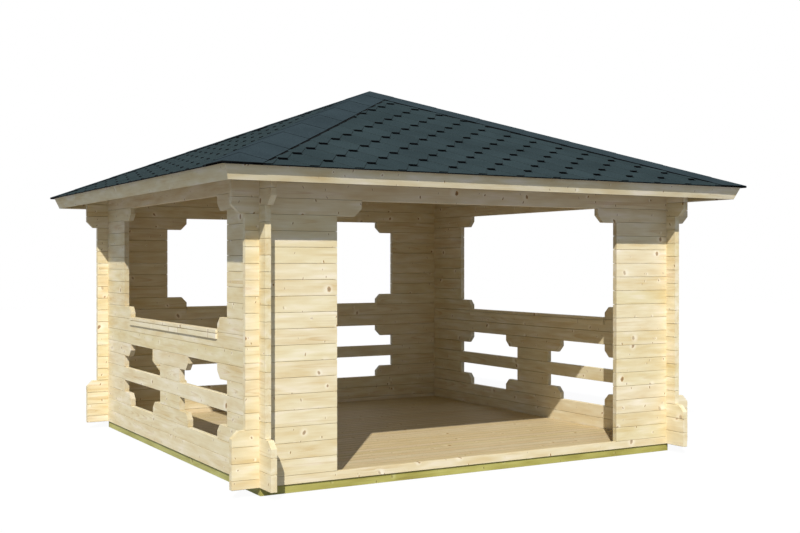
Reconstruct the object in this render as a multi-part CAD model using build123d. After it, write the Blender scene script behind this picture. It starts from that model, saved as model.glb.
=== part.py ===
from build123d import *
from math import cos, radians, sin, sqrt, tan
import os

# Square garden gazebo of interlocked logs under a four-sided shingle roof.
# The frame has +X along the front wall to the right, +Y from the front to the back and +Z up.
# The origin is the middle of the plan at the underside of the ground bearers. Sizes are in mm.

# Log walls
plan_size = 3800.0        # over the outer faces of opposite walls
log_height = 114.0        # one course
first_extra = 6.0         # how much taller the lowest course is, below its own cover height
log_thick = 44.0
groove_depth = 4.0        # V between two courses
groove_half = 3.0
end_short = 102.0         # log ends past the crossing wall, plain courses
end_long = 202.0          # the same, bottom and top courses
end_cut = 54.0            # 45 degree cut on corbels and on long ends
head_cut = 61.0           # the same under the long ends of the heads

# Openings, in the plan
pier_width = 600.0        # outer wall face to the jamb
corbel_reach = 200.0      # corbel past its jamb
centre_pier = 500.0       # pier between the two low openings

# Courses, counted up a side wall; the front and back walls sit half a course higher
low_row = 2               # first course with low openings
rail_row = 4              # the rail that runs through them
parapet_row = 7           # closed again
window_row = 9            # first course with the window
head_row = 17             # course of the upper corbels, closed to the roof above it
wall_rows = 20.47         # wall height at its outer face, under the roof boards
long_rows = 3             # bottom courses with long ends
row_shift = 0.5           # front and back walls against the side walls

# Sill cap in each window
cap_rise = 16.0           # above the joint under the corbels beside it
cap_drop = 52.0           # below that joint, where the top log is cut down for it
cap_width = 70.0
cap_gap = 1.0             # to the corbels at its ends

# Ground frame and floor
bearer_height = 60.0
bearer_width = 60.0
bearer_setback = 14.0     # behind the outer wall face
joist_width = 45.0
joist_spacing = 600.0
floor_thick = 28.0
floor_gap = 5.0           # to the walls

# Roof
roof_pitch = 21.65        # degrees
eave_overhang = 442.5     # wall face to the edge of the shingles
shingle_thick = 10.0
deck_thick = 15.0
fascia_setback = 30.0     # behind the edge of the shingles, along the slope
fascia_thick = 18.0
fascia_width = 115.0
rafter_width = 45.0
rafter_depth = 80.0
rafter_spacing = 750.0
hip_drop = 95.0           # hip rafter, measured plumb
king_flats = 110.0        # eight-sided post under the peak
king_length = 230.0
hip_cap_width = 182.0     # each side of the hip, in the plan
hip_cap_thick = 8.0
hip_cap_gap = 1.0         # between two caps at the peak

# Tolerances of the modelling
hair = 0.01               # two heights closer than this are one
proud = 1.0               # how far a cutting block stands past the piece it cuts

# Worked out
half = plan_size / 2
inner = half - log_thick
jamb = half - pier_width
corbel_end = jamb - corbel_reach
slope = tan(radians(roof_pitch))
pitch_cos = cos(radians(roof_pitch))
pitch_sin = sin(radians(roof_pitch))
eave_half = half + eave_overhang
roof_build = shingle_thick + deck_thick
eave_z = wall_rows * log_height + roof_build / pitch_cos - slope * eave_overhang
deck_start = fascia_setback + fascia_thick
walls = {                 # turn in the plan, shift in courses, course of the upper corbels
    "front": (0, row_shift, head_row - 1),
    "right": (90, 0.0, head_row),
    "back": (180, row_shift, head_row - 1),
    "left": (270, 0.0, head_row),
}


# ---------------------------------------------------------------- solids from corners
def solid_of(corners, sides):
    """Closed solid with flat sides, each a ring of corner numbers."""
    faces = [Face(Wire.make_polygon([corners[i] for i in side], close=True)) for side in sides]
    return Solid(Shell(faces))


def prism(points, height_low, height_high):
    """Upright prism over a plan outline."""
    outline = [(x, y, height_low) for x, y in points]
    return extrude(make_face(Polyline(*outline, close=True)), amount=height_high - height_low,
                   dir=(0, 0, 1))


def block(x, y, z):
    """Box from three (low, high) pairs."""
    box = Box(x[1] - x[0], y[1] - y[0], z[1] - z[0], align=(Align.MIN, Align.MIN, Align.MIN))
    return Pos(x[0], y[0], z[0]) * box


# ---------------------------------------------------------------- roof geometry
def roof_point(up, deep):
    """Distance out from the middle and height, for a place on the slope.

    up is measured up the slope from the edge of the shingles, deep square down from their top.
    """
    out = eave_half - up * pitch_cos - deep * pitch_sin
    return out, eave_z + up * pitch_sin - deep * pitch_cos


def plane_z(out, deep):
    """Height of a roof layer at a distance out from the middle."""
    return eave_z + slope * (eave_half - out) - deep / pitch_cos


def roof_slab(up, top, bottom):
    """One triangular face of a roof layer over the front wall, mitred along both hips."""
    out_top, z_top = roof_point(up, top)
    out_low, z_low = roof_point(up, bottom)
    corners = [(0, 0, plane_z(0, top)), (-out_top, -out_top, z_top), (out_top, -out_top, z_top),
               (0, 0, plane_z(0, bottom)), (-out_low, -out_low, z_low), (out_low, -out_low, z_low)]
    return solid_of(corners, [(0, 1, 2), (3, 5, 4), (1, 4, 5, 2), (0, 3, 4, 1), (0, 2, 5, 3)])


def eave_board(up, thick, top, width):
    """Board along the front eave, square to the slope and mitred at both corners."""
    section = [roof_point(up, top), roof_point(up, top + width),
               roof_point(up + thick, top + width), roof_point(up + thick, top)]
    left = [(-out, -out, z) for out, z in section]
    right = [(out, -out, z) for out, z in section]
    sides = [(0, 1, 2, 3), (7, 6, 5, 4)]
    sides += [(i, i + 4, (i + 1) % 4 + 4, (i + 1) % 4) for i in range(4)]
    return solid_of(left + right, sides)


def tapered_block(low_half, low_z, high_half, high_z):
    """Square block whose four sides lean."""
    signs = [(-1, -1), (1, -1), (1, 1), (-1, 1)]
    corners = [(sx * low_half, sy * low_half, low_z) for sx, sy in signs]
    corners += [(sx * high_half, sy * high_half, high_z) for sx, sy in signs]
    sides = [(3, 2, 1, 0), (4, 5, 6, 7)]
    sides += [(i, (i + 1) % 4, (i + 1) % 4 + 4, i + 4) for i in range(4)]
    return solid_of(corners, sides)


def under_roof(deep):
    """Everything below a roof layer: a square block with a pyramid on it."""
    rim = plane_z(eave_half, deep)
    signs = [(-1, -1), (1, -1), (1, 1), (-1, 1)]
    corners = [(sx * eave_half, sy * eave_half, 0) for sx, sy in signs]
    corners += [(sx * eave_half, sy * eave_half, rim) for sx, sy in signs]
    corners += [(0, 0, plane_z(0, deep))]
    sides = [(3, 2, 1, 0)]
    sides += [(i, (i + 1) % 4, (i + 1) % 4 + 4, i + 4) for i in range(4)]
    sides += [(i + 4, (i + 1) % 4 + 4, 8) for i in range(4)]
    return solid_of(corners, sides)


# ---------------------------------------------------------------- log walls
def row_z(shift, row):
    """Height of the bottom of a course; the lowest one starts a little lower."""
    height = (row + shift) * log_height
    return height if height > hair else -first_extra


def wall_joints(shift, low, high):
    """Heights of the joints of a wall from low to high, both included."""
    levels = [row_z(shift, row) for row in range(int(wall_rows) + 2)]
    return [z for z in levels if low - hair <= z <= high + hair]


def log_section(shift, low, high):
    """Cross-section of stacked logs in the front wall, with a V at each joint on both faces."""
    outer = [(groove_depth, low), (0, low + groove_half)]
    for z in wall_joints(shift, low, high):
        if low + hair < z < high - hair:
            outer += [(0, z - groove_half), (groove_depth, z), (0, z + groove_half)]
    outer += [(0, high - groove_half), (groove_depth, high)]
    return outer + [(log_thick - y, z) for y, z in reversed(outer)]


def logs(shift, low, high, start, end):
    """Stacked logs in the front wall's place, half-lapped where they cross the side walls."""
    ring = [(start, y - half, z) for y, z in log_section(shift, low, high)]
    stack = extrude(make_face(Polyline(*ring, close=True)), amount=end - start, dir=(1, 0, 0))
    lap = log_height / 4
    for z in wall_joints(shift, low, high):
        for side in (-1, 1):
            column = sorted((side * inner, side * half))
            if start < column[0] and column[1] < end:
                level = max(z, 0.0)
                top = high + proud if level + lap > high else level + lap
                stack -= block(column, (-half - proud, -inner + proud), (z - lap, top))
    return stack


def end_wedge(place, height, run, rise):
    """Three-cornered piece to cut from a log's end, at the corner where place and height meet."""
    near = -half - proud
    ring = [(place, near, height), (place + run, near, height), (place, near, height + rise)]
    wedge = make_face(Polyline(*ring, close=True))
    return extrude(wedge, amount=log_thick + 2 * proud, dir=(0, 1, 0))


def mirrored(shape):
    """The same piece at the other end of the wall."""
    return mirror(shape, about=Plane.YZ)


def corbel_block(shift, row, reach, rise):
    """End block of one course with a corbel, cut below (rise 1) or above (rise -1)."""
    low = row_z(shift, row)
    edge = low if rise > 0 else low + log_height
    outer_end = -half - reach
    piece = logs(shift, low, low + log_height, outer_end, -corbel_end)
    piece -= end_wedge(-corbel_end, edge, -end_cut, rise * end_cut)
    if reach == end_long:
        cut = head_cut if rise > 0 else end_cut
        piece -= end_wedge(outer_end, edge, cut, rise * cut)
    return piece


def centre_corbel(shift, row, rise):
    """Block of one course of the centre pier, with a corbel at each end."""
    low = row_z(shift, row)
    edge = low if rise > 0 else low + log_height
    reach = centre_pier / 2 + corbel_reach
    piece = logs(shift, low, low + log_height, -reach, reach)
    for side in (-1, 1):
        piece -= end_wedge(side * reach, edge, -side * end_cut, rise * end_cut)
    return piece


def long_logs(shift, first, last, reach):
    """Courses that run the whole wall, from one course up to another."""
    low = -first_extra if first == 0 else row_z(shift, first)
    return logs(shift, low, row_z(shift, last), -half - reach, half + reach)


def low_piers(shift):
    """Plain blocks between the low openings, one course below the rail and one above it."""
    pieces = []
    for row in (low_row + 1, rail_row + 1):
        z = row_z(shift, row)
        block_end = logs(shift, z, z + log_height, -half - end_short, -jamb)
        pieces += [block_end, mirrored(block_end)]
        pieces += [logs(shift, z, z + log_height, -centre_pier / 2, centre_pier / 2)]
    return pieces


def low_corbels(shift):
    """Corbels at the foot of the lower openings and at the head of the upper ones."""
    pieces = []
    for row, reach, rise in ((low_row, end_long, -1), (parapet_row - 1, end_short, 1)):
        block_end = corbel_block(shift, row, reach, rise)
        pieces += [block_end, mirrored(block_end), centre_corbel(shift, row, rise)]
    return pieces


def head_corbels(shift, head):
    """Corbels that carry the courses over an opening, one at each side."""
    piece = corbel_block(shift, head, end_long, 1)
    return [piece, mirrored(piece)]


def window_corbels(shift, head):
    """Corbels at the foot and at the head of the window, one at each side."""
    sill = corbel_block(shift, window_row, end_short, -1)
    return [sill, mirrored(sill)] + head_corbels(shift, head)


def window_piers(shift, head):
    """Plain courses beside the window."""
    low = row_z(shift, window_row + 1)
    pier = logs(shift, low, row_z(shift, head), -half - end_short, -jamb)
    return [pier, mirrored(pier)]


def parapet_logs(shift):
    """Closed courses up to the window, with the top log cut down between the corbels."""
    stack = long_logs(shift, parapet_row, window_row, end_short)
    cut = row_z(shift, window_row) - cap_drop
    top = (cut, row_z(shift, window_row) + proud)
    depth = (-half - proud, -inner + proud)
    log_end = stack & block((-half - end_long, -corbel_end), depth, top)
    body = stack - block((-half - end_long, half + end_long), depth, top)
    return [body, log_end, mirrored(log_end)]


def sill_cap(shift):
    """Thick board on the parapet, between the lower corbels."""
    joint = row_z(shift, window_row)
    middle = half - log_thick / 2
    length = corbel_end - cap_gap
    return block((-length, length), (-middle - cap_width / 2, -middle + cap_width / 2),
                 (joint - cap_drop, joint + cap_rise))


def pier_feet(shift):
    """Lowest courses beside the doorway, with long ends."""
    high = row_z(shift, long_rows)
    foot = logs(shift, row_z(shift, 0), high, -half - end_long, -jamb)
    foot -= end_wedge(-half - end_long, high, end_cut, -end_cut)
    return [foot, mirrored(foot)]


def door_piers(shift, head):
    """Courses beside the doorway from the feet up to the corbels."""
    pier = logs(shift, row_z(shift, long_rows), row_z(shift, head), -half - end_short, -jamb)
    return [pier, mirrored(pier)]


def top_plate(shift, head, frame):
    """Closed courses up to the roof boards, notched for the rafters."""
    reach = half + end_long
    plate = logs(shift, row_z(shift, head + 1), plane_z(inner, roof_build), -reach, reach)
    plate = plate & under_roof(roof_build)
    return plate - frame


# ---------------------------------------------------------------- roof frame
def king_post():
    """Eight-sided post that the rafters meet."""
    ring = RegularPolygon(radius=king_flats / 2, side_count=8, major_radius=False, rotation=22.5)
    low = plane_z(0, roof_build) - king_length
    post = Pos(0, 0, low) * extrude(ring, amount=king_length, dir=(0, 0, 1))
    return post & under_roof(roof_build)


def roof_space():
    """Room inside the fascias and under the roof boards."""
    deep = roof_build + 2 * rafter_depth
    low_half, low_z = roof_point(deck_start, deep)
    high_half, high_z = roof_point(deck_start, 0)
    rise = king_length + plane_z(0, 0) - low_z
    spread = (high_half - low_half) / (high_z - low_z)
    shell = tapered_block(low_half, low_z, low_half + spread * rise, low_z + rise)
    return shell & under_roof(roof_build)


def hip_rafters(space):
    """A rafter under each hip, from the king post to the corner of the fascias."""
    start = king_flats / 2
    end = eave_half * sqrt(2)
    top = [(q, plane_z(q / sqrt(2), 0)) for q in (start, end)]
    low = [(q, plane_z(q / sqrt(2), roof_build) - hip_drop) for q in (end, start)]
    ring = [(q, -rafter_width / 2, z) for q, z in top + low]
    bar = extrude(make_face(Polyline(*ring, close=True)), amount=rafter_width, dir=(0, 1, 0))
    return [(Rot(0, 0, 45 + 90 * turn) * bar) & space for turn in range(4)]


def jack_rafters(space):
    """Rafters square to each eave: the middle one meets the king post, the rest the hips."""
    bay_start = rafter_width / sqrt(2)
    bay = prism([(0, -bay_start), (-eave_half, -eave_half - bay_start),
                 (eave_half, -eave_half - bay_start)], 0, plane_z(0, 0))
    start = king_flats / 2
    top = [(out, plane_z(out, 0)) for out in (start, eave_half)]
    low = [(out, plane_z(out, roof_build + rafter_depth)) for out in (eave_half, start)]
    count = int((inner - rafter_width) // rafter_spacing)
    pieces = []
    for step in range(-count, count + 1):
        x = step * rafter_spacing - rafter_width / 2
        ring = [(x, -out, z) for out, z in top + low]
        bar = extrude(make_face(Polyline(*ring, close=True)), amount=rafter_width, dir=(1, 0, 0))
        bar = (bar & bay) & space
        pieces += [Rot(0, 0, 90 * turn) * bar for turn in range(4)]
    return pieces


def hip_caps():
    """Sheets over the hips, two a hip that meet on it, stopping just short of the other hips."""
    layer = under_roof(-hip_cap_thick) - under_roof(0)
    near = hip_cap_gap / 2
    wide = hip_cap_width * sqrt(2)
    far = eave_half
    wings = []
    for outline in ([(near, near), (near + wide, near), (far, far - wide), (far, far)],
                    [(near, near), (far, far), (far - wide, far), (near, near + wide)]):
        strip = prism(outline, eave_z - proud, plane_z(0, 0) + 2 * hip_cap_thick)
        wing = layer & strip
        wings += [Rot(0, 0, 90 * turn) * wing for turn in range(4)]
    return wings


# ---------------------------------------------------------------- ground frame and floor
def bearers():
    """Front and back bearers run through, side bearers fit between them."""
    outer = half - bearer_setback
    inside = outer - bearer_width
    z = (-first_extra - bearer_height, -first_extra)
    across = [block((-outer, outer), (-outer, -inside), z), block((-outer, outer), (inside, outer), z)]
    along = [block((-outer, -inside), (-inside, inside), z), block((inside, outer), (-inside, inside), z)]
    return across, along


def floor_joists():
    """Joists from the front bearer to the back one, evenly spread."""
    inside = half - bearer_setback - bearer_width
    bays = int(2 * inside // joist_spacing)
    pitch = 2 * inside / bays
    places = [-inside + pitch * step for step in range(1, bays)]
    z = (-first_extra - bearer_height, -first_extra)
    return [block((x - joist_width / 2, x + joist_width / 2), (-inside, inside), z) for x in places]


# ---------------------------------------------------------------- writing
def solids_in(shape):
    """The separate solids of a piece or of a list of pieces."""
    if isinstance(shape, (list, ShapeList)) and not hasattr(shape, "wrapped"):
        return [solid for piece in shape for solid in solids_in(piece)]
    return list(shape.solids())


def write(name, shape, turn=0):
    """Turn a piece into its wall's place, stand it on the bearers and save it."""
    lift = Pos(0, 0, bearer_height + first_extra)
    placed = [lift * (Rot(0, 0, turn) * solid) for solid in solids_in(shape)]
    node = placed[0] if len(placed) == 1 else Compound(children=placed)
    export_step(node, os.path.join("parts", name + ".step"))


def main():
    os.makedirs("parts", exist_ok=True)
    space = roof_space()
    hips = hip_rafters(space)
    jacks = jack_rafters(space)
    across, along = bearers()

    caps = []
    for name, (turn, shift, head) in walls.items():
        frame = [Rot(0, 0, -turn) * bar for bar in hips + jacks]
        write(name + "_top_plate", top_plate(shift, head, frame), turn)
        if name == "front":
            write("front_threshold", long_logs(shift, 0, 0, end_long), turn)
            write("front_pier_feet", pier_feet(shift), turn)
            write("front_door_piers", door_piers(shift, head), turn)
            write("front_head_corbels", head_corbels(shift, head), turn)
        else:
            write(name + "_base_logs", long_logs(shift, 0, low_row, end_long), turn)
            write(name + "_low_piers", low_piers(shift), turn)
            write(name + "_low_corbels", low_corbels(shift), turn)
            write(name + "_rail_log", long_logs(shift, rail_row, rail_row + 1, end_short), turn)
            write(name + "_parapet_logs", parapet_logs(shift), turn)
            write(name + "_window_piers", window_piers(shift, head), turn)
            write(name + "_window_corbels", window_corbels(shift, head), turn)
            caps.append(Rot(0, 0, turn) * sill_cap(shift))
        write(name + "_roof_boards", roof_slab(deck_start, shingle_thick, roof_build), turn)
        write(name + "_shingles", roof_slab(0, 0, shingle_thick), turn)
        write(name + "_fascia", eave_board(fascia_setback, fascia_thick, shingle_thick, fascia_width), turn)

    write("sill_caps", caps)
    write("front_back_bearers", across)
    write("side_bearers", along)
    write("floor_joists", floor_joists())
    write("floor", block((-inner + floor_gap, inner - floor_gap), (-inner + floor_gap, inner - floor_gap),
                         (-first_extra, floor_thick - first_extra)))
    write("king_post", king_post())
    write("hip_rafters", hips)
    write("jack_rafters", jacks)
    write("hip_caps", hip_caps())


main()
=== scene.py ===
import math
import random

import bmesh
import bpy
from mathutils import Matrix, Vector


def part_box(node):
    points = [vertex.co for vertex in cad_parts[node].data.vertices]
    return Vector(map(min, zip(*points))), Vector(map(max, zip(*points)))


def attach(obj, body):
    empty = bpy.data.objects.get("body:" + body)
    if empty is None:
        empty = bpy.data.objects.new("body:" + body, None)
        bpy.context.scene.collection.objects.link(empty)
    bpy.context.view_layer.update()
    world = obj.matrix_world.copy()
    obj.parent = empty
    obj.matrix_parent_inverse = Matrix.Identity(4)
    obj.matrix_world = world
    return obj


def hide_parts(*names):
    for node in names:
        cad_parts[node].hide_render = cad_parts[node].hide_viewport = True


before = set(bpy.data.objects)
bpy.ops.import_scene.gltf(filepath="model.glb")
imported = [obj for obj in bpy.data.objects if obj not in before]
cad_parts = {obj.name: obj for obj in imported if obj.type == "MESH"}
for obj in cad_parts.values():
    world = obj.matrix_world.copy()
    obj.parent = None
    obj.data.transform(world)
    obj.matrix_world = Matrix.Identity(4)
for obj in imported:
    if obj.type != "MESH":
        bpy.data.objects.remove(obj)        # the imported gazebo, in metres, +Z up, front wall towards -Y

scene = bpy.context.scene
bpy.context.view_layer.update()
dice = random.Random(41)   # every board gets its own number from here, the same each run
xAxis, yAxis, zAxis = (1, 0, 0), (0, 1, 0), (0, 0, 1)
tiny = 1e-6                # metres; two places closer than this are one
squareCorner = 1.2         # radians; only corners near a right angle are sharper
flatSeam = 0.01            # radians; faces of a CAD node that meet flatter than this are one
weld = 1e-5                # metres; its points closer than this are one
facing = 0.5               # a face looks along an axis when its normal reaches this far
sawnLean = 0.6             # the same for end grain, which 45 degree cuts show as well

roofPitch = 21.65          # degrees

# Places taken from the frame
half = -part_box("front_door_piers")[0].y        # middle of the plan to an outer wall face
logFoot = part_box("left_base_logs")[0].z        # underside of the lowest logs
feltLow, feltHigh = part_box("front_shingles")
eaveHalf = -feltLow.y                          # middle of the plan to the shingles' lower edge
peakHeight = feltHigh.z                        # shingle tops meet here
roofSlope = math.radians(roofPitch)
slopeLength = eaveHalf / math.cos(roofSlope)
eaveHeight = peakHeight - eaveHalf * math.tan(roofSlope)
feltThick = (eaveHeight - feltLow.z) / math.cos(roofSlope)
print("frame read: walls", round(2 * half, 3), "m, eaves", round(2 * eaveHalf, 3), "m")


# Tools of the job, used by every piece

# sRGB hex to the linear values that sockets want
def linearColour(hexText):
    parts = [int(hexText[i:i + 2], 16) / 255 for i in (1, 3, 5)]
    return [c / 12.92 if c <= 0.04045 else ((c + 0.055) / 1.055) ** 2.4 for c in parts] + [1.0]


# adds a node; settings name inputs or properties, "stops" fills a colour ramp, and links feed
# inputs, where a node stands for its first output
def addNode(tree, kind, settings=None, links=None):
    node = tree.nodes.new("ShaderNode" + kind)
    for key, value in (settings or {}).items():
        if key == "stops":
            ramp = node.color_ramp.elements
            while len(ramp) < len(value):
                ramp.new(0.5)
            for element, (place, hexText) in zip(ramp, value):
                element.position = place
                element.color = linearColour(hexText)
        elif isinstance(key, int) or key in node.inputs:
            node.inputs[key].default_value = value
        else:
            setattr(node, key, value)
    for key, source in (links or {}).items():
        output = source.outputs[0] if isinstance(source, bpy.types.Node) else source
        tree.links.new(output, node.inputs[key])
    return node


# a sum in a material; its terms are bare numbers, or nodes and outputs that feed it
def reckon(tree, operation, *terms, kind="Math"):
    settings, links = {"operation": operation}, {}
    for place, term in enumerate(terms):
        (settings if isinstance(term, (int, float, tuple)) else links)[place] = term
    return addNode(tree, kind, settings, links)


def reckonVector(tree, operation, *terms):
    return reckon(tree, operation, *terms, kind="VectorMath")


# turns a value between start and end into one between low and high
def spread(tree, value, low=0.0, high=1.0, start=0.0, end=1.0, shape="LINEAR"):
    return addNode(tree, "MapRange", {"interpolation_type": shape, "From Min": start,
                                      "From Max": end, "To Min": low, "To Max": high},
                   {"Value": value})


def newObject(name, data):
    thing = bpy.data.objects.new(name, data)
    scene.collection.objects.link(thing)
    return thing


def newMaterial(name):
    material = bpy.data.materials.new(name)
    material.use_nodes = True
    material.node_tree.nodes.clear()
    return material, material.node_tree


# turn about the upright axis
def turnInPlan(degrees):
    return Matrix.Rotation(math.radians(degrees), 4, "Z")


def moveAll(bm, matrix):
    bmesh.ops.transform(bm, matrix=matrix, verts=bm.verts)


def middleOf(verts):
    return sum((vert.co for vert in verts), Vector()) / len(verts)


# cuts a line round a shape where a plane passes; clear throws its outer side away
def scoreLine(bm, point, outwards, clear=False):
    everything = bm.verts[:] + bm.edges[:] + bm.faces[:]
    bmesh.ops.bisect_plane(bm, geom=everything, dist=tiny, plane_co=point, plane_no=outwards,
                           clear_outer=clear)


# saws a shape off at a plane and closes the cut
def sawOff(bm, point, outwards):
    scoreLine(bm, point, outwards, clear=True)
    openEdges = [edge for edge in bm.edges if edge.is_boundary]
    if openEdges:
        bmesh.ops.holes_fill(bm, edges=openEdges)


# block with sharp corners, from its lowest corner to its highest
def squareBlock(low, high):
    bm = bmesh.new()
    bmesh.ops.create_cube(bm, size=1.0)
    size = Vector(high) - Vector(low)
    bmesh.ops.scale(bm, vec=size, verts=bm.verts)
    bmesh.ops.translate(bm, vec=(Vector(low) + Vector(high)) / 2, verts=bm.verts)
    return bm


# gives a flat sheet its second side and hands back that side's points
def thicken(bm):
    poured = bmesh.ops.extrude_face_region(bm, geom=bm.faces[:])
    return [item for item in poured["geom"] if isinstance(item, bmesh.types.BMVert)]


def runsAlong(edge, direction):
    line = (edge.verts[1].co - edge.verts[0].co).normalized()
    return abs(line.dot(Vector(direction))) > 0.999    # within 2.5 degrees of it


# small bevel on every sharp edge, or on those that run one way or pass a test of their own
def easeEdges(bm, width, segments=1, along=None, sharper=0.5, only=None):
    bm.normal_update()
    sharp = [edge for edge in bm.edges if len(edge.link_faces) == 2
             and edge.calc_face_angle(0.0) > sharper and (along is None or runsAlong(edge, along))
             and (only is None or only(edge))]
    if sharp:
        bmesh.ops.bevel(bm, geom=sharp, offset=width, offset_type="OFFSET", affect="EDGES",
                        segments=segments, profile=0.5, material=-1, clamp_overlap=True)


# tapers a board towards its edges on the faces that look along the given directions, so that two
# boards meet tight on their tongue and stand a little apart at the surface
def openJoints(bm, sides, up, shoulder, gap):
    up = Vector(up)
    heights = [vert.co.dot(up) for vert in bm.verts]
    middle = (min(heights) + max(heights)) / 2
    faces = [(side, max(vert.co.dot(side) for vert in bm.verts)) for side in map(Vector, sides)]
    for side, reach in faces:
        scoreLine(bm, side * (reach - shoulder), side)
    atFace = {vert: None for side, reach in faces for vert in bm.verts
              if abs(vert.co.dot(side) - reach) < tiny}
    for vert in atFace:
        vert.co += up * (gap / 2 if vert.co.dot(up) < middle else -gap / 2)


# the layers that the wood reads: place in the board, the board's number, and what is end grain
def grainLayers(bm):
    points, faces = bm.verts.layers, bm.faces.layers
    return (points.float_vector.get("grain") or points.float_vector.new("grain"),
            points.float.get("boardSeed") or points.float.new("boardSeed"),
            faces.float.get("endGrain") or faces.float.new("endGrain"))


# stores where each point lies in its board: along the grain, across it and through it
def markGrain(bm, along, across, verts=None):
    grain, seed, endGrain = grainLayers(bm)
    verts = list(verts or bm.verts)
    along, across = Vector(along).normalized(), Vector(across).normalized()
    through = along.cross(across)
    middle = middleOf(verts)
    number = dice.random()
    for vert in verts:
        offset = vert.co - middle
        vert[grain] = (vert.co.dot(along), offset.dot(across), offset.dot(through))
        vert[seed] = number
    bm.normal_update()
    for face in {face for vert in verts for face in vert.link_faces}:
        face[endGrain] = 1.0 if abs(face.normal.dot(along)) > sawnLean else 0.0


# a tongued board that runs along X
def tonguedBoard(low, high, book, eased=None):
    board = squareBlock(low, high)
    openJoints(board, [zAxis, (0, 0, -1)], yAxis, book["shoulder"], book["openGap"])
    easeEdges(board, book["ease"], along=eased, sharper=squareCorner)
    markGrain(board, xAxis, yAxis)
    return board


# groups of points that hang together
def looseParts(bm):
    found = set()
    parts = []
    for first in bm.verts:
        if first in found:
            continue
        found.add(first)
        part, queue = [], [first]
        while queue:
            vert = queue.pop()
            part.append(vert)
            for edge in vert.link_edges:
                other = edge.other_vert(vert)
                if other not in found:
                    found.add(other)
                    queue.append(other)
        parts.append(part)
    return parts


# pours one finished board into the mesh of the whole piece
def addBoard(whole, board):
    carrier = bpy.data.meshes.new("board")
    board.to_mesh(carrier)
    board.free()
    whole.from_mesh(carrier)
    bpy.data.meshes.remove(carrier)


# makes an object of a finished shape
def objectOf(bm, name, materials):
    mesh = bpy.data.meshes.new(name)
    bm.to_mesh(mesh)
    bm.free()
    for material in materials:
        mesh.materials.append(material)
    return newObject(name, mesh)


# hangs a finished piece on the building and hides the plain nodes that it stands for
def finishPiece(bm, name, materials, nodes):
    piece = objectOf(bm, name, materials)
    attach(piece, "root")
    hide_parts(*nodes)


# copy of a CAD node's shape with its points merged and its edges eased
def easedCopy(node, width):
    bm = bmesh.new()
    bm.from_mesh(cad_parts[node].data)
    bmesh.ops.remove_doubles(bm, verts=bm.verts, dist=weld)
    bmesh.ops.dissolve_limit(bm, angle_limit=flatSeam, verts=bm.verts, edges=bm.edges)
    easeEdges(bm, width)
    grainLayers(bm)
    return bm


# Finishes

# knots of one size range, at most one in each cell of a board's face: how much knot there is, how
# far from its middle, a pale spot beside it, and how the grain is pushed aside
def knotField(tree, place, book):
    cell = book["cell"]
    cellPlace = reckonVector(tree, "MULTIPLY", place, (1 / cell[0], 1 / cell[1], 1))
    cells = addNode(tree, "TexVoronoi",
                    {"voronoi_dimensions": "2D", "Scale": 1.0, "Randomness": 0.85},
                    {"Vector": cellPlace})
    chances = addNode(tree, "SeparateColor", links={"Color": cells.outputs["Color"]})
    size, strong, slant = [chances.outputs[name] for name in ("Red", "Green", "Blue")]
    away = reckonVector(tree, "SUBTRACT", cellPlace, cells.outputs["Position"])
    offset = reckonVector(tree, "MULTIPLY", away, (cell[0], cell[1], 0))
    parts = addNode(tree, "SeparateXYZ", links={"Vector": offset})
    x, y = parts.outputs["X"], parts.outputs["Y"]
    lean = spread(tree, slant, -0.5, 0.5)
    leaning = reckon(tree, "MULTIPLY_ADD", y, lean, x)
    upright = reckon(tree, "MULTIPLY", y, 1 / book["tall"])
    shaped = addNode(tree, "CombineXYZ", {}, {0: leaning, 1: upright})
    distance = reckonVector(tree, "LENGTH", shaped)

    share = spread(tree, size, start=book["missing"])
    there = reckon(tree, "GREATER_THAN", share, 0.001)
    curved = reckon(tree, "POWER", share, 1.8)
    radius = spread(tree, curved, book["small"], book["large"])
    rough = addNode(tree, "TexNoise", {"Scale": 70.0, "Detail": 2.0}, {"Vector": place})
    wobble = spread(tree, rough, -0.35, 0.35)
    inside = reckon(tree, "DIVIDE", distance.outputs["Value"], radius)
    inKnot = reckon(tree, "ADD", inside, wobble)
    core = spread(tree, inKnot, start=1.25, end=0.75, shape="SMOOTHSTEP")
    strength = spread(tree, strong, book["faint"], book["strong"])
    amount = reckon(tree, "MULTIPLY", core, strength)
    shown = reckon(tree, "MULTIPLY", amount, there)

    # the pale spot lies left or right of the knot
    sideways = spread(tree, strong, -2.4, 2.4)
    besideX = reckon(tree, "MULTIPLY_ADD", sideways, radius, x)
    beside = addNode(tree, "CombineXYZ", {}, {0: besideX, 1: y})
    besideDistance = reckonVector(tree, "LENGTH", beside)
    besidePlace = reckon(tree, "DIVIDE", besideDistance.outputs["Value"], radius)
    paleShape = spread(tree, besidePlace, 0.0, book["haloStrength"], book["haloReach"], 0.6,
                       "SMOOTHSTEP")
    pale = reckon(tree, "MULTIPLY", paleShape, there)
    push = spread(tree, inside, 0.0, 0.6, 4.0, 0.5, "SMOOTHSTEP")
    pushThere = reckon(tree, "MULTIPLY", push, there)
    aside = reckon(tree, "MULTIPLY", y, pushThere)
    return {"shown": shown, "inside": inKnot, "pale": pale, "aside": aside}


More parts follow.
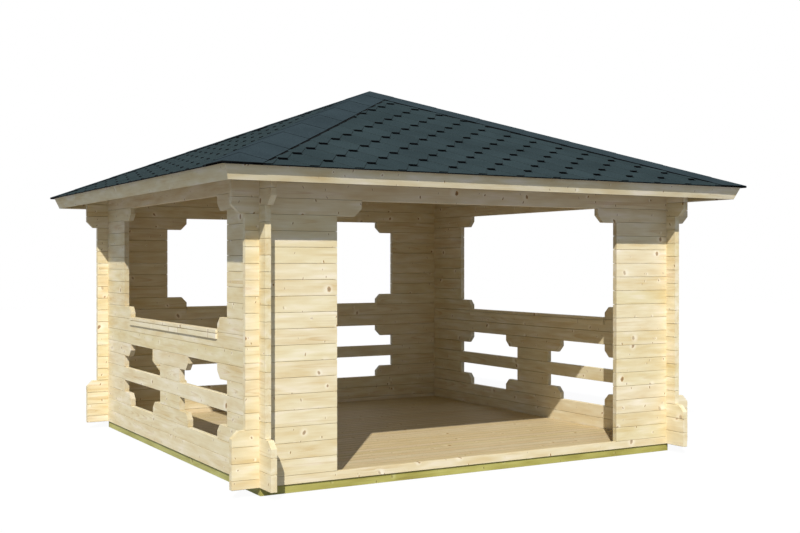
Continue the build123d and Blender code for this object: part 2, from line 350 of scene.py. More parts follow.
# Planed spruce, straight from the moulder and not oiled: pale straw colour and nearly plain,
# paler and yellower patches running into each other, thin arched growth rings where the board is
# cut flat, and brown knots with a pale spot beside them
def planedSpruce(name, look):
    material, tree = newMaterial(name)
    grain, board, endCut = [addNode(tree, "Attribute", {"attribute_name": layer})
                            for layer in ("grain", "boardSeed", "endGrain")]
    chance = addNode(tree, "TexWhiteNoise", {"noise_dimensions": "1D"},
                     {"W": board.outputs["Fac"]})
    chances = addNode(tree, "SeparateColor", links={"Color": chance.outputs["Color"]})

    # each board is cut from another place in the tree
    shift = addNode(tree, "VectorMath", {"operation": "SCALE", 0: (31.7, 7.3, 5.9)},
                    {"Scale": board.outputs["Fac"]})
    place = reckonVector(tree, "ADD", grain.outputs["Vector"], shift)
    knots = knotField(tree, place, look["knots"])
    pins = knotField(tree, place, look["pins"])

    # soft streaks far longer than wide, and broad patches
    figures = []
    for length, width, detail, roughness in (
            (look["streakLength"], look["streakWidth"], 3.0, 0.55),
            (look["patchLength"], look["patchWidth"], 2.0, 0.5)):
        drawn = reckonVector(tree, "MULTIPLY", place, (1 / length, 1 / width, 1 / width))
        figures.append(addNode(tree, "TexNoise", {"Scale": 1.0, "Detail": detail,
                                                  "Roughness": roughness}, {"Vector": drawn}))
    streaks, patches = figures
    figure = addNode(tree, "Mix", {"data_type": "FLOAT", 0: look["streakShare"]},
                     {2: patches, 3: streaks})
    wood = addNode(tree, "ValToRGB", {"stops": list(zip(woodStops, look["tones"]))},
                   {"Fac": figure})

    # growth rings round a pith that wanders behind the board, each wider than a real one of
    # 2 to 3 mm, so that they show, and clearer in some patches than in others
    onBoard = addNode(tree, "SeparateXYZ", links={"Vector": grain.outputs["Vector"]})
    inTree = addNode(tree, "SeparateXYZ", links={"Vector": place})
    wanderMap = reckon(tree, "MULTIPLY", inTree.outputs["X"], 1 / look["flameLength"])
    wander = addNode(tree, "TexNoise", {"noise_dimensions": "1D", "Scale": 1.0, "Detail": 1.0},
                     {"W": wanderMap})
    pithDepth = spread(tree, wander, look["pithNear"], look["pithFar"], 0.3, 0.7)
    deep = reckon(tree, "SUBTRACT", pithDepth, onBoard.outputs["Z"])
    pithSide = spread(tree, chances.outputs["Green"], -look["pithSide"], look["pithSide"])
    fromMiddle = reckon(tree, "ADD", onBoard.outputs["Y"], pithSide)
    pushedAside = reckon(tree, "SUBTRACT", fromMiddle, knots["aside"])
    shake = spread(tree, streaks, -look["shake"], look["shake"])
    shaken = reckon(tree, "ADD", pushedAside, shake)
    fromPith = addNode(tree, "CombineXYZ", {}, {1: shaken, 2: deep})
    radius = reckonVector(tree, "LENGTH", fromPith).outputs["Value"]
    ringCount = reckon(tree, "MULTIPLY", radius, 1 / look["ringWidth"])
    ringPart = reckon(tree, "FRACT", ringCount)
    ringLine = addNode(tree, "ValToRGB",
                       {"stops": [(0.0, "#000000"), (0.45, "#000000"), (0.85, "#FFFFFF"),
                                  (1.0, "#000000")]}, {"Fac": ringPart})
    flatCut = reckon(tree, "DIVIDE", shaken, radius)
    flatCutSize = reckon(tree, "ABSOLUTE", flatCut)
    arches = spread(tree, flatCutSize, look["straightGrain"], 1.0, 0.75, 0.25, "SMOOTHSTEP")
    clearMap = reckonVector(tree, "MULTIPLY", place, look["ringPatches"])
    clearNoise = addNode(tree, "TexNoise", {"Scale": 1.0, "Detail": 1.0}, {"Vector": clearMap})
    clear = spread(tree, clearNoise, 0.05, look["ringShare"], 0.45, 0.65)
    archShown = reckon(tree, "MULTIPLY", arches, clear)
    ringShown = reckon(tree, "MULTIPLY", ringLine, archShown)
    ringed = addNode(tree, "Mix", {"data_type": "RGBA", 7: linearColour(look["ringTone"])},
                     {0: ringShown, 6: wood})

    # one board lighter, pinker or yellower than the next
    tinted = {"Color": ringed.outputs[2]}
    for quality, middle, reach, chosen in (("Value", 1.0, look["boardSpread"], "Red"),
                                           ("Hue", 0.5, look["hueSpread"], "Blue"),
                                           ("Saturation", 1.0, -look["vividSpread"], "Red")):
        tinted[quality] = spread(tree, chances.outputs[chosen], middle - reach, middle + reach)
    toned = addNode(tree, "HueSaturation", links=tinted)

    # knots last, and none on the sawn ends
    face = reckon(tree, "SUBTRACT", 1.0, endCut.outputs["Fac"])
    layer = toned
    for field in (pins, knots):
        knotWood = addNode(tree, "ValToRGB",
                           {"stops": [(0.0, look["knotHeart"]), (0.40, look["knotHeart"]),
                                      (0.90, look["knotTone"])]}, {"Fac": field["inside"]})
        paleHere = reckon(tree, "MULTIPLY", field["pale"], face)
        knotHere = reckon(tree, "MULTIPLY", field["shown"], face)
        paled = addNode(tree, "Mix", {"data_type": "RGBA", 7: linearColour(look["haloTone"])},
                        {0: paleHere, 6: layer})
        knotted = addNode(tree, "Mix", {"data_type": "RGBA"},
                          {0: knotHere, 6: paled.outputs[2], 7: knotWood})
        layer = knotted.outputs[2]

    bump = addNode(tree, "Bump", {"Strength": 0.2, "Distance": 0.0005}, {"Height": figure})
    surface = addNode(tree, "BsdfPrincipled",
                      {"Roughness": look["roughness"], "Specular IOR Level": 0.25},
                      {"Base Color": layer, "Normal": bump})
    addNode(tree, "OutputMaterial", links={"Surface": surface})
    return material


# places of the tones in the pattern that mixes them, lightest wood and darkest slate first
woodStops = (0.30, 0.45, 0.60, 0.72)
slateStops = (0.30, 0.50, 0.70)

wallLook = {
    "tones": ("#F0E2C5", "#E7D8B0", "#E0CDA0", "#DAC391"),
    "streakLength": 0.5, "streakWidth": 0.010, "streakShare": 0.20,
    "patchLength": 0.30, "patchWidth": 0.060,
    "ringWidth": 0.0085, "ringShare": 0.55, "ringTone": "#C49F62", "straightGrain": 0.10,
    "ringPatches": (1.7, 9.0, 9.0), "flameLength": 2.4, "shake": 0.006,
    "pithNear": 0.030, "pithFar": 0.075, "pithSide": 0.022,
    "knots": {"cell": (0.34, 0.125), "missing": 0.50, "small": 0.0045, "large": 0.017,
              "tall": 1.3, "faint": 0.35, "strong": 1.0, "haloReach": 3.6, "haloStrength": 0.60},
    "pins": {"cell": (0.19, 0.075), "missing": 0.50, "small": 0.0024, "large": 0.0052,
             "tall": 2.4, "faint": 0.40, "strong": 1.0, "haloReach": 3.6, "haloStrength": 0.35},
    "knotHeart": "#75501E", "knotTone": "#B5873F", "haloTone": "#FAEFD6",
    "boardSpread": 0.04, "hueSpread": 0.004, "vividSpread": 0.08, "roughness": 0.62,
}
# the inside faces are a little darker and yellower than the outer ones
innerLook = dict(wallLook, tones=("#E8DBBF", "#E0D1AA", "#D9C69B", "#D3BD8D"))
# the sawn ends of the logs in the openings look duller than their planed sides
jambLook = dict(wallLook, tones=("#DACDB3", "#D2C4A0", "#CCBA91", "#C6B184"))
# painted shade: the undersides and lower chamfers of the lowest logs are dark, standing for the shadow
# line over the bearers
paintedShadeFootLook = dict(wallLook, tones=("#7E6E40", "#78683C", "#726238", "#6C5C34"),
                haloTone="#857548")
fasciaLook = dict(wallLook, streakShare=0.10, ringShare=0.35)
floorLook = dict(wallLook, tones=("#CFBB92", "#CCB78D", "#C8B288", "#C3AC80"),
                 haloTone="#DAC9A0", ringTone="#A98A55", boardSpread=0.02, ringShare=0.25,
                 streakShare=0.10)
# dirt and shade in the joints of a floor that is walked on
seamLook = dict(floorLook, tones=("#A5966F", "#A1926B", "#9D8D66", "#98865F"))
roofLook = dict(wallLook, boardSpread=0.05)
# Pine after the pressure tank: the salts turn it a dull green, browner in the summer wood and
# round the knots
bearerLook = dict(wallLook, tones=("#C0BB6E", "#B4AE60", "#A8A154", "#9A9148"),
                  ringTone="#83753D", knotHeart="#5E4622", knotTone="#85703A",
                  haloTone="#CEC884", boardSpread=0.05, hueSpread=0.01, roughness=0.7)

wallWood = planedSpruce("planedSpruceLogs", wallLook)
innerWood = planedSpruce("planedSpruceLogsInside", innerLook)
jambWood = planedSpruce("sawnSpruceLogEnds", jambLook)
paintedShadeFootWood = planedSpruce("spruceFootPaintedShade", paintedShadeFootLook)
capWood = planedSpruce("planedSpruceCaps", wallLook)
fasciaWood = planedSpruce("planedSpruceFascia", fasciaLook)
floorWood = planedSpruce("planedSpruceFloor", floorLook)
seamWood = planedSpruce("planedSpruceFloorSeams", seamLook)
roofWood = planedSpruce("planedSpruceRoofBoards", roofLook)
rafterWood = planedSpruce("planedSpruceRafters", roofLook)
bearerWood = planedSpruce("pressureTreatedPine", bearerLook)


# Bitumen shingle: felt coated with bitumen, with slate granules pressed into it. Matt, dark
# blue-grey, each tab a shade off the next. Real granules of 1 mm are drawn 6 mm wide to show
def slateGranules(name, look):
    material, tree = newMaterial(name)
    place = addNode(tree, "TexCoord")
    tab = addNode(tree, "Attribute", {"attribute_name": "tabTone"})
    grit = addNode(tree, "TexNoise", {"Scale": 1 / look["grit"], "Detail": 2.0, "Roughness": 0.7},
                   {"Vector": place.outputs["Object"]})
    cloud = addNode(tree, "TexNoise", {"Scale": 1 / look["cloud"], "Detail": 2.0},
                    {"Vector": place.outputs["Object"]})
    slate = addNode(tree, "ValToRGB", {"stops": list(zip(slateStops, look["tones"]))},
                    {"Fac": grit})
    cloudBright = spread(tree, cloud, 0.9, 1.1, 0.3, 0.7)
    tabBright = spread(tree, tab.outputs["Fac"], 1 - look["tabSpread"], 1 + look["tabSpread"])
    value = reckon(tree, "MULTIPLY", cloudBright, tabBright)
    toned = addNode(tree, "HueSaturation", links={"Color": slate, "Value": value})
    bump = addNode(tree, "Bump", {"Strength": 0.3, "Distance": 0.001}, {"Height": grit})
    surface = addNode(tree, "BsdfPrincipled", {"Roughness": 0.9, "Specular IOR Level": 0.0},
                      {"Base Color": toned, "Normal": bump})
    addNode(tree, "OutputMaterial", links={"Surface": surface})
    return material


# Cut edge or underside of the felt: no granules, only bitumen or the sand it is backed with
def bareFelt(name, dark, light):
    material, tree = newMaterial(name)
    place = addNode(tree, "TexCoord")
    mottle = addNode(tree, "TexNoise", {"Scale": 90.0, "Detail": 2.0},
                     {"Vector": place.outputs["Object"]})
    tone = addNode(tree, "ValToRGB", {"stops": [(0.3, dark), (0.7, light)]}, {"Fac": mottle})
    surface = addNode(tree, "BsdfPrincipled", {"Roughness": 0.8, "Specular IOR Level": 0.05},
                      {"Base Color": tone})
    addNode(tree, "OutputMaterial", links={"Surface": surface})
    return material


shingleLook = {"grit": 0.006, "cloud": 0.35, "tabSpread": 0.07,
               "tones": ("#2C3637", "#333E3F", "#3D4848")}
shadowLook = dict(shingleLook, tabSpread=0.05, tones=("#060708", "#080A0B", "#0C0E10"))
capLook = dict(shingleLook, cloud=0.30, tabSpread=0.05, tones=("#2D3638", "#343E41", "#3E4A4C"))

shingleFelt = slateGranules("slateGranuleShingle", shingleLook)
shadowBand = slateGranules("slateGranuleShadowBand", shadowLook)
capFelt = slateGranules("slateGranuleHipCap", capLook)
cutBitumen = bareFelt("cutBitumenEdge", "#060708", "#0B0D0E")
dustedEdge = bareFelt("dustedFeltEdge", "#374243", "#424E4E")
sandedBack = bareFelt("sandedFeltBack", "#34342F", "#403F39")
print("finishes mixed")


# Log walls

logBook = {
    "height": 0.114,      # one course
    "firstExtra": 0.006,  # the lowest course is this much taller
    "thick": 0.044,
    "chamfer": 0.0022,    # lower long edges, the wide side of the V between two logs
    "topChamfer": 0.0010,
    "footChamfer": 0.012, # lower edges of the lowest logs, over the bearers
    "ease": 0.0012,       # other edges
    "easedEnd": 0.1,      # cross edges are eased only this near to an end
    "gap": 0.0002,        # between courses, on the tongue
    "openGap": 0.0020,    # the same at the outer surface
    "innerGap": 0.0036,   # and inside, where the V is not planed
    "shoulder": 0.012,    # surface to tongue
    "lip": 0.006,         # undersides over the openings stand this much lower
    "step": 0.001,        # length in which a lip or a seat drops to its depth
    "endShort": 0.102,    # past the crossing wall
    "endLong": 0.202,
    "cut": 0.054,         # 45 degree cut of corbels and long ends
    "headCut": 0.061,     # the same under the long ends over the windows and the doorway
    "pier": 0.600,
    "corbel": 0.200,
    "centrePier": 0.500,
    "wallTop": 20.47,     # courses to the roof boards at the outer face
    "roofReach": 0.6,     # courses below that which the slope of the roof can cut
    "roofSpare": 0.3,     # courses above it, for the roof plane to trim
}
logBase = logFoot + logBook["firstExtra"]          # courses are counted from here
innerHalf = half - logBook["thick"]                # middle of the plan to an inner wall face
jamb = half - logBook["pier"]
corbelEnd = jamb - logBook["corbel"]
centreHalf = logBook["centrePier"] / 2
centreReach = centreHalf + logBook["corbel"]
longReach = half + logBook["endLong"]
shortReach = half + logBook["endShort"]

# what a course is made of, left half and middle: start, end, and the corners cut at 45 degrees
bothTops, bothFeet = [(("start", side), ("end", side)) for side in ("top", "bottom")]
courseKinds = {
    "longLog": [(-longReach, longReach, ())],
    "shortLog": [(-shortReach, shortReach, ())],
    "seatLog": [(-shortReach, shortReach, ())],
    "foot": [(-longReach, -jamb, ())],
    "footTop": [(-longReach, -jamb, (("start", "top"),))],
    "pier": [(-shortReach, -jamb, ())],
    "lowSill": [(-longReach, -corbelEnd, bothTops), (-centreReach, centreReach, bothTops)],
    "lowPier": [(-shortReach, -jamb, ()), (-centreHalf, centreHalf, ())],
    "lowHead": [(-shortReach, -corbelEnd, (("end", "bottom"),)),
                (-centreReach, centreReach, bothFeet)],
    "windowSill": [(-shortReach, -corbelEnd, (("end", "top"),))],
    "windowHead": [(-longReach, -corbelEnd, bothFeet)],
}
swapEnds = {"start": "end", "end": "start"}
lowCourses = ["longLog", "longLog", "lowSill", "lowPier", "shortLog", "lowPier", "lowHead",
              "shortLog", "seatLog", "windowSill"]
headCourses = ["windowHead"] + ["longLog"] * 3
sideCourses = lowCourses + ["pier"] * 7 + headCourses
# turn in the plan in degrees, how far up it starts, in courses, and its courses from there
wallBook = {
    "front": {"turn": 0, "shift": 0.5,
              "courses": ["foot", "foot", "footTop"] + ["pier"] * 13 + headCourses},
    "right": {"turn": 90, "shift": 0.0, "courses": sideCourses},
    "back": {"turn": 180, "shift": 0.5, "courses": lowCourses + ["pier"] * 6 + headCourses},
    "left": {"turn": 270, "shift": 0.0, "courses": sideCourses},
}
innerFace, sawnEnd, paintedShadeFoot = 1, 2, 3             # slots of a wall's materials after the outer
capBook = {
    "width": 0.070,
    "rise": 0.016,        # above the joint under the corbels beside it
    "drop": 0.052,        # below that joint
    "topBoard": 0.026,
    "round": 0.0008,
    "apart": 0.0050,      # between the two boards
    "tongueBack": 0.015,  # their tongue lies this far in
    "endGap": 0.001,
    "row": 9,
}


# scores a log at both ends of a span, a step apart, and gives back the points between the scores
def scoreSpan(bm, near, far):
    step = logBook["step"]
    for x in (near, near + step, far - step, far):
        scoreLine(bm, (x, 0, 0), xAxis)
    reaches = [vert.co.x for vert in bm.verts]
    low = near + step / 2 if near > min(reaches) + tiny else near - step
    high = far - step / 2 if far < max(reaches) - tiny else far + step
    return [vert for vert in bm.verts if low < vert.co.x < high]


# one log in the front wall's place, with its cuts and eased edges
def planedLog(start, end, low, high, cuts, underRoof, capSeat, free):
    book = logBook
    gap = book["gap"] / 2
    bm = squareBlock((start, -half, low + gap), (end, -half + book["thick"], high - gap))
    outerSides = [(0, -1, 0), xAxis, (-1, 0, 0)]
    openJoints(bm, outerSides, zAxis, book["shoulder"], book["openGap"])
    openJoints(bm, [yAxis], zAxis, book["shoulder"], book["innerGap"])
    for crossing in (innerHalf, -innerHalf):
        scoreLine(bm, (crossing, 0, 0), xAxis)
    if capSeat:                                # cut down between the corbels for the sill cap
        reach, seat = capSeat
        for vert in scoreSpan(bm, -reach, reach):
            vert.co.z = min(vert.co.z, seat)
    for near, far in free:                     # a lip along the underside over an opening
        for vert in scoreSpan(bm, near, far):
            if vert.co.z < low + book["lip"] / 2:
                vert.co.z -= book["lip"]
    for whichEnd, side in cuts:
        out = -1 if whichEnd == "start" else 1
        up = 1 if side == "top" else -1
        corner = Vector((start if out < 0 else end, -half, high if up > 0 else low))
        head = up < 0 and abs(corner.x) > half
        cut = book["headCut"] if head else book["cut"]
        sawOff(bm, corner - Vector((out * cut, 0, 0)), (out, 0, up))
    if underRoof:
        top = book["wallTop"] * book["height"]
        lean, plumb = math.sin(roofSlope), math.cos(roofSlope)
        sawOff(bm, (0, -half, top), (0, -lean, plumb))
        sawOff(bm, (-half, 0, top), (-lean, 0, plumb))
        sawOff(bm, (half, 0, top), (lean, 0, plumb))

    def nearEnd(edge):
        return not start + book["easedEnd"] < edge.verts[0].co.x < end - book["easedEnd"]

    middle = (low + high) / 2
    if not capSeat:
        easeEdges(bm, book["chamfer"], along=yAxis, sharper=squareCorner, only=nearEnd)
    easeEdges(bm, book["footChamfer"] if low < 0 else book["chamfer"], along=xAxis,
              sharper=squareCorner, only=lambda edge: edge.verts[0].co.z < middle)
    easeEdges(bm, book["topChamfer"], along=xAxis, sharper=squareCorner,
              only=lambda edge: edge.verts[0].co.z > middle)
    easeEdges(bm, book["ease"], along=zAxis)
    easeEdges(bm, book["ease"], along=yAxis, only=nearEnd)
    markGrain(bm, xAxis, zAxis)
    bm.normal_update()
    for face in bm.faces:
        # painted shade: the undersides and foot chamfers of the lowest logs take the dark foot tone
        if low < 0 and face.normal.z < -facing:
            face.material_index = paintedShadeFoot
        elif abs(face.calc_center_median().x) < innerHalf:
            if face.normal.y > facing:
                face.material_index = innerFace
            elif abs(face.normal.x) > sawnLean:
                face.material_index = sawnEnd
    return bm


# where a course has nothing under it, between the crossing walls
def freeSpans(start, end, kindBelow):
    below = [(near, far) for near, far, cuts in courseKinds[kindBelow]]
    below += [(-far, -near) for near, far in below]
    places = sorted({start, end} | {x for span in below for x in span if start < x < end})
    spans = []
    for near, far in zip(places, places[1:]):
        middle = (near + far) / 2
        if abs(middle) < half and not any(a <= middle <= b for a, b in below):
            spans.append((near, far))
    return spans


# stacks the courses of a wall in the front wall's place and turns it to its own side
def buildWall(name, book):
    whole = bmesh.new()
    height, wallTop = logBook["height"], logBook["wallTop"]
    rows = [(row + book["shift"], kind) for row, kind in enumerate(book["courses"])]
    if book["shift"]:
        rows.insert(0, (0.0, "longLog"))               # half log at the bottom
    kindBelow = "longLog"
    for row, kind in rows:
        low = row * height if row else -logBook["firstExtra"]
        high = book["shift"] * height if row < book["shift"] else (row + 1) * height
        underRoof = row + 1 > wallTop - logBook["roofReach"]
        if row + 1 >= wallTop:
            high = (wallTop + logBook["roofSpare"]) * height
        capSeat = (corbelEnd, high - capBook["drop"]) if kind == "seatLog" else None
        for start, end, cuts in courseKinds[kind]:
            logs = [(start, end, cuts)]
            if abs(start + end) > tiny:                # the right half mirrors the left one
                logs.append((-end, -start, [(swapEnds[which], side) for which, side in cuts]))
            for left, right, corners in logs:
                addBoard(whole, planedLog(left, right, low, high, corners, underRoof, capSeat,
                                          freeSpans(left, right, kindBelow)))
        kindBelow = kind
    moveAll(whole, Matrix.Translation((0, 0, logBase)) @ turnInPlan(book["turn"]))
    nodes = [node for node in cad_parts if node.startswith(name + "_")
             and not node.endswith(("_bearers", "_roof_boards", "_shingles", "_fascia"))]
    finishPiece(whole, name + "WallLogs", [wallWood, innerWood, jambWood, paintedShadeFootWood],
                nodes)


for wallName, wallEntry in wallBook.items():
    buildWall(wallName, wallEntry)
print("walls stacked")


# Sill caps in the three windows: two boards with a tongue between them

caps = bmesh.new()
for wallName in ("right", "back", "left"):
    wallEntry = wallBook[wallName]
    joint = logBase + (capBook["row"] + wallEntry["shift"]) * logBook["height"]
    top = joint + capBook["rise"]
    middle = -half + logBook["thick"] / 2
    reach = corbelEnd - capBook["endGap"]
    split = top - capBook["topBoard"]
    seam, wide = capBook["apart"] / 2, capBook["width"] / 2
    capBoards = [(split + seam, top, wide), (joint - capBook["drop"], split - seam, wide),
                 (split - seam, split + seam, wide - capBook["tongueBack"])]
    for boardLow, boardTop, side in capBoards:
        board = squareBlock((-reach, middle - side, boardLow), (reach, middle + side, boardTop))
        if side == wide:
            easeEdges(board, capBook["round"], segments=2)
        markGrain(board, xAxis, yAxis)
        moveAll(board, turnInPlan(wallEntry["turn"]))
        addBoard(caps, board)
finishPiece(caps, "sillCaps", [capWood], ["sill_caps"])
print("sill caps fitted")


# Floor, joists and bearers

floorBook = {
    "cover": 0.1014,
    "firstJoint": -1.602,
    "ease": 0.0030,
    "openGap": 0.0020,
    "shoulder": 0.006,
    "narrowest": 0.01,    # no board is narrower than this
    "seamLean": 0.3,      # faces that lean further than this take the seam's dirt and painted shade
    "timberEase": 0.001,  # edges of joists and bearers
}
floorLow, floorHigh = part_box("floor")
joints = [floorBook["firstJoint"] + floorBook["cover"] * step for step in range(-3, 40)]
inside = [y for y in joints if floorLow.y + floorBook["narrowest"] < y
          < floorHigh.y - floorBook["narrowest"]]
joints = [floorLow.y] + inside + [floorHigh.y]
floorBoards = bmesh.new()
for near, far in zip(joints, joints[1:]):
    board = tonguedBoard((floorLow.x, near, floorLow.z), (floorHigh.x, far, floorHigh.z),
                         floorBook)
    for face in board.faces:                   # slot 1 is the seam, darker with dirt and painted shade
        face.material_index = 1 if abs(face.normal.y) > floorBook["seamLean"] else 0
    addBoard(floorBoards, board)
finishPiece(floorBoards, "floorBoards", [floorWood, seamWood], ["floor"])

for node, pieceName, along in (("floor_joists", "floorJoists", yAxis),
                               ("front_back_bearers", "frontBackBearers", xAxis),
                               ("side_bearers", "sideBearers", yAxis)):
    timber = easedCopy(node, floorBook["timberEase"])
    for part in looseParts(timber):
        markGrain(timber, along, zAxis, part)
    finishPiece(timber, pieceName, [bearerWood], [node])
print("floor laid")


# Roof frame

rafterBook = {"ease": 0.002}
post = easedCopy("king_post", rafterBook["ease"])
markGrain(post, zAxis, xAxis)
finishPiece(post, "kingPost", [rafterWood], ["king_post"])

# the grain of a rafter runs down the roof, to a corner or to an eave
for node, pieceName in (("hip_rafters", "hipRafters"), ("jack_rafters", "jackRafters")):
    rafters = easedCopy(node, rafterBook["ease"])
    for part in looseParts(rafters):
        middle = middleOf(part)
        outX, outY = math.copysign(1, middle.x), math.copysign(1, middle.y)
        if node == "jack_rafters":
            outX, outY = (outX, 0) if abs(middle.x) > abs(middle.y) else (0, outY)
        markGrain(rafters, (outX, outY, -math.tan(roofSlope)), (outY, -outX, 0), part)
    finishPiece(rafters, pieceName, [rafterWood], [node])
print("roof frame raised")


# Roof faces: X along the eave, Y up the slope from the edge of the shingles, Z off their tops

frontSlope = (Matrix.Translation((0, -eaveHalf, eaveHeight))
              @ Matrix.Rotation(roofSlope, 4, "X"))


# trims a board of the front roof face at both hips, then turns it to its own side
def mitreAtHips(bm, turn):
    moveAll(bm, frontSlope)
    sawOff(bm, (0, 0, 0), (1, 1, 0))
    sawOff(bm, (0, 0, 0), (-1, 1, 0))
    moveAll(bm, turnInPlan(turn))


roofBook = {
    "deck": 0.015,
    "deckStart": 0.048,   # behind the fascia
    "deckCover": 0.094,
    "narrowest": 0.02,    # no board at the peak is narrower than this
    "hipSpare": 0.03,     # past the hips, to be trimmed
    "shoulder": 0.005,
    "openGap": 0.0016,
    "ease": 0.003,
    "fasciaStart": 0.030,
    "fasciaThick": 0.018,
    "fasciaWidth": 0.115,
    "fasciaRound": 0.0018,
}
sideTurns = {"front": 0, "right": 90, "back": 180, "left": 270}
for side, turn in sideTurns.items():
    deck = bmesh.new()
    near = roofBook["deckStart"]
    while near < slopeLength - roofBook["narrowest"]:
        far = min(near + roofBook["deckCover"], slopeLength)
        reach = eaveHalf - near * math.cos(roofSlope) + roofBook["hipSpare"]
        board = tonguedBoard((-reach, near, -feltThick - roofBook["deck"]),
                             (reach, far, -feltThick), roofBook, eased=xAxis)
        mitreAtHips(board, turn)
        addBoard(deck, board)
        near = far
    finishPiece(deck, side + "RoofBoards", [roofWood], [side + "_roof_boards"])

    start = roofBook["fasciaStart"]
    fascia = squareBlock((-eaveHalf, start, -feltThick - roofBook["fasciaWidth"]),
                         (eaveHalf, start + roofBook["fasciaThick"], -feltThick))
    easeEdges(fascia, roofBook["fasciaRound"], segments=2, along=xAxis)
    markGrain(fascia, xAxis, zAxis)
    mitreAtHips(fascia, turn)
    finishPiece(fascia, side + "Fascia", [fasciaWood], [side + "_fascia"])
print("roof boards and fascias nailed")


# Shingles: strips with hexagonal tabs, each row half a tab along from the last

shingleBook = {
    "module": 0.3367,     # one tab
    "show": 0.1494,       # of each row
    "flat": 0.072,        # straight foot of a tab, and of the notch beside it
    "thick": 0.0024,      # one layer over the next, and how far a row sinks over one exposure
    "rim": 0.003,         # bare bitumen along the cut edge of the tabs
    "setBack": 0.006,     # first row behind the starter strip
    "starterDrop": 0.014, # starter strip lower down, so that its slots end before the eave
    "curl": 0.003,        # feet of the tabs stand up
    "along": -0.005,
    "shadow": 0.027,      # band of near-black granules under each foot
    "lap": 0.004,         # how far a row runs under the second one above it
    "apart": 0.001,       # least depth between two lines of points near the peak
    "rows": 17,
    "footLean": 0.9,      # faces that look this much down the slope are cut feet
}
slateFace, cutEdge, bandFace, backFace, dustyEdge = range(5)    # slots of its materials


# a strip of tabs from its feet up, solid down to the roof boards
def shingleRow(row):
    book = shingleBook
    module, show, flat = book["module"], book["show"], book["flat"]
    offset = module / 2 if row % 2 else 0.0
    extra = 0.0 if row >= 0 else book["starterDrop"]
    foot = row * show + book["setBack"] - extra
    long = min(2 * show + book["lap"] + extra, slopeLength - foot)
    count = int(2 * (eaveHalf - foot * math.cos(roofSlope)) / module) + 3
    first = -(count // 2) * module + offset + book["along"]
    steps = [(-flat / 2, 0), (flat / 2, 0), ((module - flat) / 2, 1), ((module + flat) / 2, 1)]
    edge = [(first + tab * module + x, show * notch) for tab in range(count)
            for x, notch in steps]
    columns, bands = len(edge) - 1, 3          # bands: cut rim, granules, shadow of the next row
    bm = bmesh.new()
    bmesh.ops.create_grid(bm, x_segments=columns, y_segments=bands, size=0.5)
    for face in bm.faces:
        middle = face.calc_center_median()
        column, band = int((middle.x + 0.5) * columns), int((middle.y + 0.5) * bands)
        underFoot = band == 2 and column % len(steps) == 0
        face.material_index = cutEdge if band == 0 else bandFace if underFoot else slateFace
    for vert in bm.verts:
        x, rise = edge[round((vert.co.x + 0.5) * columns)]
        line = round((vert.co.y + 0.5) * bands)
        up = (rise, rise + book["rim"], 2 * show + extra - book["shadow"], long)[line]
        up = min(up, long - (bands - line) * book["apart"])
        curl = book["curl"] if line < 2 and rise == 0 else 0.0
        vert.co = (x, foot + up, curl - book["thick"] * up / show)
    tone = bm.faces.layers.float.new("tabTone")
    tones = [dice.random() for tab in range(count + 1)]
    for face in bm.faces:
        middle = face.calc_center_median().x
        face[tone] = tones[max(0, min(count, round((middle - first) / module)))]
    for vert in thicken(bm):
        vert.co.z = -feltThick
    bmesh.ops.recalc_face_normals(bm, faces=bm.faces[:])
    sawOff(bm, (0, 0, 0), (0, -1, 0))          # the starter strip ends at the eave
    bm.normal_update()
    for face in bm.faces:
        if face.normal.z < -facing:
            face.material_index = backFace
        elif face.normal.z < facing:
            face.material_index = cutEdge if face.normal.y < -book["footLean"] else dustyEdge
    return bm


for side, turn in sideTurns.items():
    felt = bmesh.new()
    for row in range(-1, shingleBook["rows"]):
        strip = shingleRow(row)
        mitreAtHips(strip, turn)
        addBoard(felt, strip)
    finishPiece(felt, side + "Shingles",
                [shingleFelt, cutBitumen, shadowBand, sandedBack, dustedEdge],
                [side + "_shingles"])
print("shingles laid")


# Hip caps: sheets folded over each hip, lapped from the corner up to the peak

hipBook = {
    "wing": 0.200,        # each side of the hip, in the plan
    "show": 0.400,        # in the plan
    "first": 0.285,       # corner to the first lap
    "lap": 0.060,
    "thick": 0.0056,
    "lift": 0.0022,       # foot of a sheet on the one below
    "bed": 0.007,         # pressed down among the shingles
    "bitumenAndShadeBead": 0.008,        # bitumen that shows along the sides of the sheets, and painted shade under their edges
    "bitumenAndShadeBeadThick": 0.001,
    "apart": 0.0005,      # half the seam between two hips at the peak
    "pastPeak": 0.1,      # spare length at both ends, to be trimmed
    "pastCorner": 0.15,
}
capEdge, capBack = 1, 2   # slots of its materials after the granules


# height of the shingle tops above a point on the hip's cross-line
def hipTop(outwards, across):
    return peakHeight - math.tan(roofSlope) * (outwards + abs(across)) / math.sqrt(2)


# one sheet over the hip from near to far, measured out from the peak
def hipSheet(near, far, wing, thick, lift):
    book = hipBook
    bm = bmesh.new()
    bmesh.ops.create_grid(bm, x_segments=1, y_segments=2, size=1.0)
    plumb = 1 / math.cos(roofSlope)
    for vert in bm.verts:
        outwards = far if vert.co.x > 0 else near
        across = vert.co.y * wing
        vert.co = (outwards, across, hipTop(outwards, across) - book["bed"] * plumb)
    tone = bm.faces.layers.float.new("tabTone")
    number = dice.random()
    for face in bm.faces:
        face[tone] = number
    for vert in thicken(bm):
        rise = lift if vert.co.x > (near + far) / 2 else 0.0
        vert.co.z += (book["bed"] + thick + rise) * plumb
    bmesh.ops.recalc_face_normals(bm, faces=bm.faces[:])
    moveAll(bm, turnInPlan(45))
    for point, outwards in (((eaveHalf, 0, 0), xAxis), ((0, eaveHalf, 0), yAxis),
                            ((book["apart"], 0, 0), (-1, 0, 0)),
                            ((0, book["apart"], 0), (0, -1, 0))):
        sawOff(bm, point, outwards)
    bm.normal_update()
    for face in bm.faces:
        if face.normal.z < -facing:
            face.material_index = capBack
        elif face.normal.z < facing or wing > book["wing"]:
            face.material_index = capEdge
    return bm


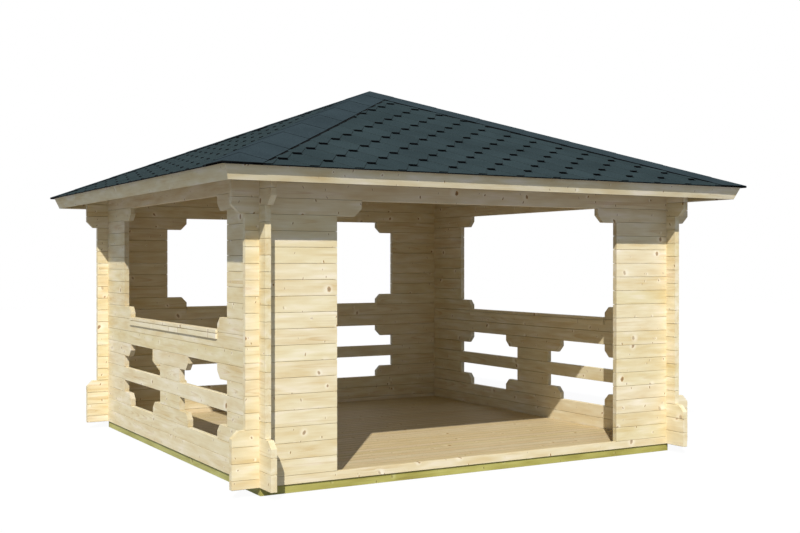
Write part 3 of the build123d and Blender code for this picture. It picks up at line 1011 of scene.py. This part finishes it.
hipCaps = bmesh.new()
hipLength = eaveHalf * math.sqrt(2)
for quarter in range(4):
    inner, outer = -hipBook["pastPeak"], hipLength + hipBook["pastCorner"]
    # a black sheet a little wider than the caps: bitumen bead and painted shade along their edges
    bitumenAndShadeBead = hipSheet(inner, outer, hipBook["wing"] + hipBook["bitumenAndShadeBead"], hipBook["bitumenAndShadeBeadThick"], 0.0)
    sheets = [bitumenAndShadeBead]
    far, near = outer, hipLength - hipBook["first"]
    while far > 0:
        sheets.append(hipSheet(max(near - hipBook["lap"], inner), far, hipBook["wing"],
                               hipBook["thick"], hipBook["lift"]))
        far, near = near, near - hipBook["show"]
    for sheet in sheets:
        moveAll(sheet, turnInPlan(90 * quarter))
        addBoard(hipCaps, sheet)
finishPiece(hipCaps, "hipCaps", [capFelt, cutBitumen, sandedBack], ["hip_caps"])
print("hips capped")


# Ground, light and camera

stageBook = {
    "size": 60.0,
    "drop": 0.001,            # the ground lies this far below the bearers
    "cameraWhite": 0.95,      # share of plain white that the camera sees, the rest takes shade
    "bounceTone": "#8D8D94",  # what the building is lit by from below
    "sunStrength": 3.93,
    "sunTravel": (0.449, 0.623, -0.640),
    "sunAngle": 0.6,          # degrees
    "skyStrength": 0.466,
    "skyTone": "#D3E6FF",
}
white = (1, 1, 1, 1)


# 1 for what is looked at, straight or by way of metal or glass, 0 for what lights the building
def lookedAt(tree):
    path = addNode(tree, "LightPath")
    mirrored = reckon(tree, "MAXIMUM", path.outputs["Is Camera Ray"],
                      path.outputs["Is Glossy Ray"])
    return reckon(tree, "MAXIMUM", mirrored, path.outputs["Is Transmission Ray"])


paper, tree = newMaterial("whitePaperGround")
glow = addNode(tree, "Emission", {"Color": white, "Strength": 1.0})
shaded = addNode(tree, "BsdfDiffuse", {"Color": white})
shown = addNode(tree, "MixShader", {0: stageBook["cameraWhite"]}, {1: shaded, 2: glow})
bounce = addNode(tree, "BsdfDiffuse", {"Color": linearColour(stageBook["bounceTone"])})
both = addNode(tree, "MixShader", links={0: lookedAt(tree), 1: bounce, 2: shown})
addNode(tree, "OutputMaterial", links={"Surface": both})

ground = bmesh.new()
bmesh.ops.create_grid(ground, x_segments=1, y_segments=1, size=stageBook["size"] / 2)
bmesh.ops.translate(ground, vec=(0, 0, -stageBook["drop"]), verts=ground.verts)
objectOf(ground, "ground", [paper])

sunLamp = bpy.data.lights.new("sun", "SUN")
sunLamp.energy = stageBook["sunStrength"]
sunLamp.angle = math.radians(stageBook["sunAngle"])
sun = newObject("sun", sunLamp)
sun.rotation_euler = Vector(stageBook["sunTravel"]).to_track_quat("-Z", "Y").to_euler()

sky = bpy.data.worlds.new("paleSky")
sky.use_nodes = True
tree = sky.node_tree
tree.nodes.clear()
skyLight = addNode(tree, "Background", {"Color": linearColour(stageBook["skyTone"]),
                                        "Strength": stageBook["skyStrength"]})
backdrop = addNode(tree, "Background", {"Color": white, "Strength": 1.0})
both = addNode(tree, "MixShader", links={0: lookedAt(tree), 1: skyLight, 2: backdrop})
addNode(tree, "OutputWorld", links={"Surface": both})
scene.world = sky

cameraBook = {
    "place": (-4.92194, -9.02996, 1.6118),
    "yaw": 0.5262,            # radians to the right of straight ahead
    "tilt": -0.0035,
    "lens": 50.314,
    "sensor": 36.0,
    "farthest": 200.0,
}
cameraData = bpy.data.cameras.new("camera")
cameraData.lens = cameraBook["lens"]
cameraData.sensor_width = cameraBook["sensor"]
cameraData.clip_end = cameraBook["farthest"]
camera = newObject("camera", cameraData)
camera.location = cameraBook["place"]
camera.rotation_euler = (math.pi / 2 + cameraBook["tilt"], 0, -cameraBook["yaw"])
scene.camera = camera

scene.view_settings.view_transform = "Standard"

print("scene ready")
